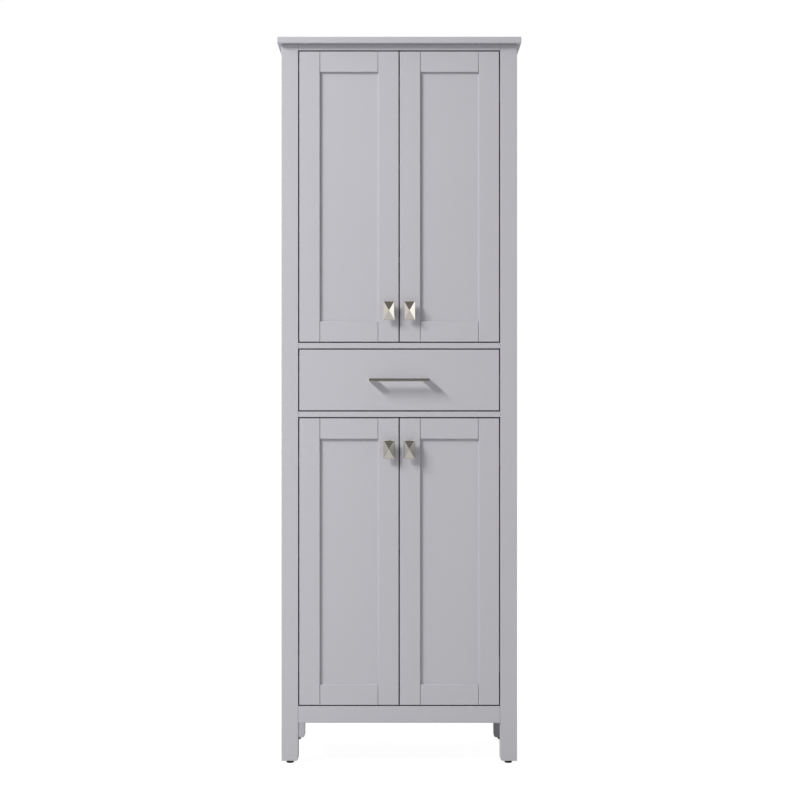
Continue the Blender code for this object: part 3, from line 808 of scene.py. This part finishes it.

# %% [markdown]
# ## Hinges
# The hinges are concealed: a steel cup pressed into a bore in the stile, with a flange and two screws,
# and an arm on a plate that is screwed to the leg. Two links join the arm to the cup. The cup is a
# turned profile joined to an oblong flange. The links are flat strips, finely divided.

# %% Cups, arms and links
SHEET = 0.0012  # thickness of the pressed steel
RIM_WIDTH = 0.002
EAR_HALF_WIDTH, EAR_REACH, EAR_ROUND = 0.007, 0.027, 0.006
EAR_HOLE = 0.0225  # from the cup's centre to the screw in each ear
PLATE_DEPTH, PLATE_THICKNESS, PLATE_ROUND = 0.0165, 0.002, 0.0035
PLATE_HOLE = 0.0165  # from the plate's middle to each of its screws
ARM_HALF_HEIGHT = 0.007
ARM_NEAR, ARM_FAR = 0.012, 0.018  # from the front of the arm's tip to the faces of its long part
ARM_TIP = 0.006  # width of the arm's turned-in tip
ADJUSTER_REACHES = (0.009, 0.019)  # from the leg to the arm's two adjusting screws
LINK_THICKNESS = 0.001
LINK_RISES = (-0.0052, 0.0042)  # from the cup's middle up to the underside of each link
LINK_INSET = 0.003  # from the front of the arm's tip
CUP_WALL = 0.011  # from the cup's middle to where the links end


def rounded_ring(a, b, radius, steps=5):
    """A rectangle from corner a to corner b with round corners, as a ring of points."""
    ring = []
    near, far = (a[0] + radius, a[1] + radius), (b[0] - radius, b[1] - radius)
    corners = ((far[0], far[1]), (near[0], far[1]), (near[0], near[1]), (far[0], near[1]))
    for quarter, (x, y) in enumerate(corners):
        for step in range(steps + 1):
            angle = math.radians(90 * (quarter + step / steps))
            ring.append((x + radius * math.cos(angle), y + radius * math.sin(angle)))
    return ring


def hinge_cup(node, door):
    low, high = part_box(node)
    centre = (low + high) / 2
    rim = (high.x - low.x) / 2
    depth = high.y - low.y
    outer, inner = rim - RIM_WIDTH, rim - RIM_WIDTH - SHEET
    profile = [
        (0, 0),
        (outer - 0.002, 0),
        (outer - 0.0006, 0.0006),
        (outer, 0.002),
        (outer, depth - SHEET),
        (rim, depth - SHEET),
        (rim, depth - 0.0004),
        (rim - 0.0004, depth),
        (inner + 0.0004, depth),
        (inner, depth - 0.0004),
        (inner, 0.003),
        (inner - 0.0006, 0.0017),
        (inner - 0.002, SHEET),
        (0, SHEET),
    ]
    corner_low = (centre.x - EAR_HALF_WIDTH, centre.z - EAR_REACH)
    corner_high = (centre.x + EAR_HALF_WIDTH, centre.z + EAR_REACH)
    ring = rounded_ring(corner_low, corner_high, EAR_ROUND)
    flange = prism_shape(ring, "Y", (high.y - SHEET + 0.0001, high.y - 0.0001))
    cup = turned_shape(profile, 48, (centre.x, low.y, centre.z), (0, 1, 0))
    piece = new_object(node + "_piece", flange)
    carve(piece, [rod_shape((centre.x, low.y, centre.z), (0, 1, 0), inner + 0.0006, 0.03, 48)])
    carve(piece, [cup], "UNION")
    dress(piece, STEEL, door, [node])
    holes = [(centre.x, high.y, centre.z + way * EAR_HOLE) for way in (-1, 1)]
    screws(node + "_screws", door, holes, (0, 1, 0), HINGE_SCREW)


def hinge_arm(node, door):
    low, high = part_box(node)
    into = 1 if LEFT in door else -1
    wall, tip = (low.x, high.x) if into > 0 else (high.x, low.x)
    middle_z = (low.z + high.z) / 2
    plate_y = (high.y - PLATE_DEPTH, high.y)
    plate_ring = rounded_ring((plate_y[0], low.z), (plate_y[1], high.z), PLATE_ROUND)
    face = wall + into * PLATE_THICKNESS
    plate = prism_shape(plate_ring, "X", sorted((wall, face)))
    round_edges(plate, 0.0004, steps=1)
    near, far = low.y + ARM_NEAR, low.y + ARM_FAR
    ring = [
        (wall + into * 0.001, near),
        (tip - into * ARM_TIP, near),
        (tip - into * ARM_TIP, low.y),
        (tip, low.y),
        (tip, far - 0.003),
        (tip - into * 0.003, far),
        (wall + into * 0.001, far),
    ]
    arm = prism_shape(ring, "Z", (middle_z - ARM_HALF_HEIGHT, middle_z + ARM_HALF_HEIGHT))
    round_edges(arm, 0.0008, steps=2)
    piece = new_object(node + "_piece", plate)
    carve(piece, [arm], "UNION")
    dress(piece, STEEL, "cabinet", [node])
    plate_middle = sum(plate_y) / 2
    places = [(face, plate_middle, middle_z + way * PLATE_HOLE) for way in (-1, 1)]
    screws(node + "_plate_screws", "cabinet", places, (into, 0, 0), HINGE_SCREW)
    adjusters = [(wall + into * reach, far, middle_z) for reach in ADJUSTER_REACHES]
    screws(node + "_adjusting_screws", "cabinet", adjusters, (0, 1, 0), ADJUSTING_SCREW)


def hinge_link(name, door, cup_node, arm_node):
    """Two flat links from the arm's tip to the cup's wall."""
    cup_low, cup_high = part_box(cup_node)
    arm_low, arm_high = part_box(arm_node)
    into = 1 if LEFT in door else -1
    centre = (cup_low + cup_high) / 2
    tip_x = (arm_high.x if into > 0 else arm_low.x) - into * ARM_TIP / 2
    tip_y = arm_low.y + LINK_INSET
    wall_x = centre.x + into * CUP_WALL
    ring = [
        (tip_x - into * 0.002, tip_y - 0.0012),
        (tip_x - into * 0.002, tip_y + 0.0012),
        (wall_x, tip_y + 0.0006),
        (wall_x, tip_y - 0.0014),
    ]
    shapes = []
    for rise in LINK_RISES:
        shapes.append(prism_shape(ring, "Z", (centre.z + rise, centre.z + rise + LINK_THICKNESS)))
    piece = new_object(name, merged(shapes))
    fine = bmesh.new()
    fine.from_mesh(piece.data)
    bmesh.ops.subdivide_edges(fine, edges=fine.edges, cuts=6, use_grid_fill=True)
    fine.to_mesh(piece.data)
    fine.free()
    piece.data.materials.append(STEEL)
    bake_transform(piece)


for door in DOORS:
    for end in ("lower", "upper"):
        hinge = f"{door}_{end}_hinge"
        hinge_cup(hinge + "_cup", door)
        hinge_arm(hinge + "_arm", door)
        hinge_link(hinge + "_links", door, hinge + "_cup", hinge + "_arm")
print("hinges:", 2 * len(DOORS))

# %% [markdown]
# ## Drawer
# The drawer's front is one plain board. Behind it is a box of four painted boards round a thin bottom,
# which sits in a groove. The bar handle is a flat U bent from one bar, so its outline is drawn on the
# level plane and given its height, and every edge is eased. Its top edge faces the ceiling, so
# it shows as one bright line.

# %% The drawer and its handle
BOX_EDGE = 0.0009
front_low, front_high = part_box("drawer_front")
bottom_low, bottom_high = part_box("drawer_bottom")


def grooved_board(node, finish, radius):
    return board(node, finish, radius, [groove(bottom_low, bottom_high)])


grooved_board("drawer_front", PAINT_LEVEL, EDGE)
for side in (LEFT, RIGHT):
    grooved_board(f"drawer_{side}_side", INSIDE_DEEP, BOX_EDGE)
grooved_board("drawer_back", INSIDE_LEVEL, BOX_EDGE)
board("drawer_bottom", INSIDE_LEVEL, THIN_EDGE)

handle_low, handle_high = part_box("drawer_handle")
POST = 0.016
BAR = 0.008
HANDLE_EDGE = 0.0009
ring = [
    (handle_low.x, handle_low.y),
    (handle_high.x, handle_low.y),
    (handle_high.x, handle_high.y),
    (handle_high.x - POST, handle_high.y),
    (handle_high.x - POST, handle_low.y + BAR),
    (handle_low.x + POST, handle_low.y + BAR),
    (handle_low.x + POST, handle_high.y),
    (handle_low.x, handle_high.y),
]
handle_shape = prism_shape(ring, "Z", (handle_low.z, handle_high.z))
round_edges(handle_shape, HANDLE_EDGE, steps=2)
stand_for("drawer_handle", handle_shape, NICKEL_LEVEL)

handle_z = (handle_low.z + handle_high.z) / 2
post_places = [(x, front_high.y, handle_z) for x in (handle_low.x + POST / 2, handle_high.x - POST / 2)]
screws("drawer_handle_screws", "drawer", post_places, (0, 1, 0), FITTING_SCREW)
print("drawer front", [round(value, 4) for value in (front_high - front_low)])

# %% [markdown]
# ## Slides
# A ball-bearing slide is three channels, one inside another. The packed channels have the right shape,
# so they stay, and only their finish changes. Two strips of balls run between each pair of channels, and
# a few screws hold the outer members.

# %% Slides and their balls
BALL_RADIUS = 0.0013
BALL_PITCH = 0.006
BALLS = 24  # in one strip
CHANNEL_METAL = 0.0012
SCREW_INSET = 0.009
OUTER_BALLS_FROM, INNER_BALLS_FROM = 0.19, 0.02  # from the middle member's front end to the first ball


def ball_strips(name, body, outer, inner, y_from):
    """The balls between two channels, in one strip below the inner channel and one above it."""
    x = (inner[0].x + inner[1].x) / 2
    low_gap = (outer[0].z + CHANNEL_METAL + inner[0].z) / 2
    high_gap = (outer[1].z - CHANNEL_METAL + inner[1].z) / 2
    shapes = []
    for z in (low_gap, high_gap):
        for step in range(BALLS):
            shape = bmesh.new()
            bmesh.ops.create_uvsphere(shape, u_segments=12, v_segments=8, radius=BALL_RADIUS)
            bmesh.ops.translate(shape, verts=shape.verts, vec=(x, y_from + step * BALL_PITCH, z))
            shapes.append(shape)
    return dress(new_object(name, merged(shapes)), STEEL, body)


for side in (LEFT, RIGHT):
    members = []
    for word in ("cabinet", "middle", "drawer"):
        node = f"{side}_slide_{word}_member"
        materials = frame["nodes"][node].data.materials
        materials.clear()
        materials.append(STEEL)
        members.append(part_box(node))
    fixed, middle, pulled = members
    runner = f"{side}_slide_runner"
    ball_strips(f"{side}_slide_outer_balls", runner, fixed, middle, middle[0].y + OUTER_BALLS_FROM)
    ball_strips(f"{side}_slide_inner_balls", runner, middle, pulled, middle[0].y + INNER_BALLS_FROM)
    web = fixed[1].x - CHANNEL_METAL if side == RIGHT else fixed[0].x + CHANNEL_METAL
    middle_z = (fixed[0].z + fixed[1].z) / 2
    places = [(web, y, middle_z) for y in (fixed[0].y + SCREW_INSET, fixed[1].y - SCREW_INSET)]
    screws(f"{side}_slide_cabinet_screws", "cabinet", places, (1 if side == LEFT else -1, 0, 0), SLIDE_SCREW)
print("balls in each slide:", 4 * BALLS)

# %% [markdown]
# ## Floor, light and camera
# The cabinet stands on a plain pale floor that runs on to a white background. Seen directly, the floor
# glows as well, so no line shows where it ends, but what it throws back at the cabinet comes from its grey
# alone. The room that lights things is dim, with a bright patch of ceiling and a bright wall on each side
# for the nickel to show, and one behind for the cabinet's back. The background could be a painted wall,
# but a white world needs no wall to light.

# %% Floor
FLOOR_HALF = 14.0
FLOOR_DARK, FLOOR_LIGHT = (0.46, 0.46, 0.465), (0.50, 0.50, 0.505)
FLOOR_GLOW = 1.25
GLOW_SHARE = 0.76  # of what a camera sees of the floor
floor_shape = bmesh.new()
bmesh.ops.create_grid(floor_shape, x_segments=1, y_segments=1, size=FLOOR_HALF)
floor = new_object("floor", floor_shape)
floor_finish, floor_shader, floor_tree = new_finish("pale_floor")
floor_place = floor_tree.node("TexCoord", out=OBJECT_OUTPUT)
cloud = noise(floor_tree, floor_place, 0.8)
feed(floor_shader, Base_Color=cloud.between(FLOOR_DARK, FLOOR_LIGHT))
floor_shader.inputs["Roughness"].default_value = 0.9
glow = floor_tree.node("Emission", sockets={"Color": (1, 1, 1, 1), "Strength": FLOOR_GLOW})
seen = floor_tree.node("LightPath") * GLOW_SHARE
plain = Wire(floor_tree, floor_shader.outputs[0])
blended = floor_tree.node("MixShader", sockets={0: seen, 1: plain, 2: glow})
floor_output = floor_tree.tree.nodes["Material Output"]
floor_tree.tree.links.new(blended.socket, floor_output.inputs["Surface"])
floor.data.materials.append(floor_finish)
print("floor", 2 * FLOOR_HALF, "m square")

# %% The room that lights things
DIM_ROOM = 0.19
SEEN_WHITE = 1.02
world = bpy.data.worlds.new("studio")
bpy.context.scene.world = world
world.use_nodes = True
room = Wire(world.node_tree)
direction = room.node("TexCoord")
across = room.node("SeparateXYZ", sockets={0: direction})
upward = across.beside(2)
right_wall = across.ramp(0.7, 0.88) * upward.ramp(-0.04, 0.05) * 1.28
left_wall = (0 - across).ramp(0.7, 0.88) * upward.ramp(-0.10, 0.05) * 0.7
ceiling = upward.ramp(0.85, 0.97) * 1.3
wall_behind = across.beside(1).ramp(0.2, 0.8) * 0.9
light_on_things = DIM_ROOM + right_wall + left_wall + ceiling + wall_behind
is_seen = room.node("LightPath")
strength = is_seen * SEEN_WHITE + (1 - is_seen) * light_on_things
sky = room.tree.nodes["Background"]
room.tree.links.new(strength.socket, sky.inputs["Strength"])
sky.inputs["Color"].default_value = (1, 1, 1, 1)
print("room lit from", world.name)

# %% [markdown]
# ## Softbox and camera
# One softbox high on the left makes the shadows, which fall to the right and down. It is long from front to
# back, which draws a shadow's soft edge out along the way that it falls. Aimed straight at the doors, it
# would leave the top, which is nearest, much brighter than the foot. So it is feathered: it aims almost
# straight down, and the top sees it more from the side. The camera is far back, level, and at half the
# cabinet's height, so the uprights stay upright.

# %% Softbox and camera
SOFTBOX_LONG, SOFTBOX_SHORT = 1.8, 0.6
SOFTBOX_WATTS = 280
face_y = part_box("bottom_rail")[0].y
aimed_at = Vector((0, face_y, -9.0))
softbox_at = Vector((-3.2, face_y - 2.4, 3.75))
away = (softbox_at - aimed_at).normalized()
face_normal = Vector((0, -1, 0))
along = (face_normal - away * face_normal.dot(away)).normalized()
lamp = bpy.data.lights.new("softbox", "AREA")
lamp.shape = "RECTANGLE"
lamp.size = SOFTBOX_LONG
lamp.size_y = SOFTBOX_SHORT
lamp.energy = SOFTBOX_WATTS
softbox = bpy.data.objects.new("softbox", lamp)
turn = Matrix((along, away.cross(along), away)).transposed().to_4x4()
softbox.matrix_world = Matrix.Translation(softbox_at) @ turn
bpy.context.scene.collection.objects.link(softbox)

EYE_HEIGHT = 0.911
EYE_DISTANCE = 5.007  # from the face of the rails
EYE_TO_RIGHT = 0.0019
lens = bpy.data.cameras.new("camera")
lens.lens = 90
lens.sensor_width = 36
camera = bpy.data.objects.new("camera", lens)
camera.location = (EYE_TO_RIGHT, face_y - EYE_DISTANCE, EYE_HEIGHT)
camera.rotation_euler = (math.radians(90), 0, 0)
bpy.context.scene.collection.objects.link(camera)
bpy.context.scene.camera = camera
bpy.context.scene.view_settings.view_transform = "Standard"
print("camera", [round(value, 3) for value in camera.location])
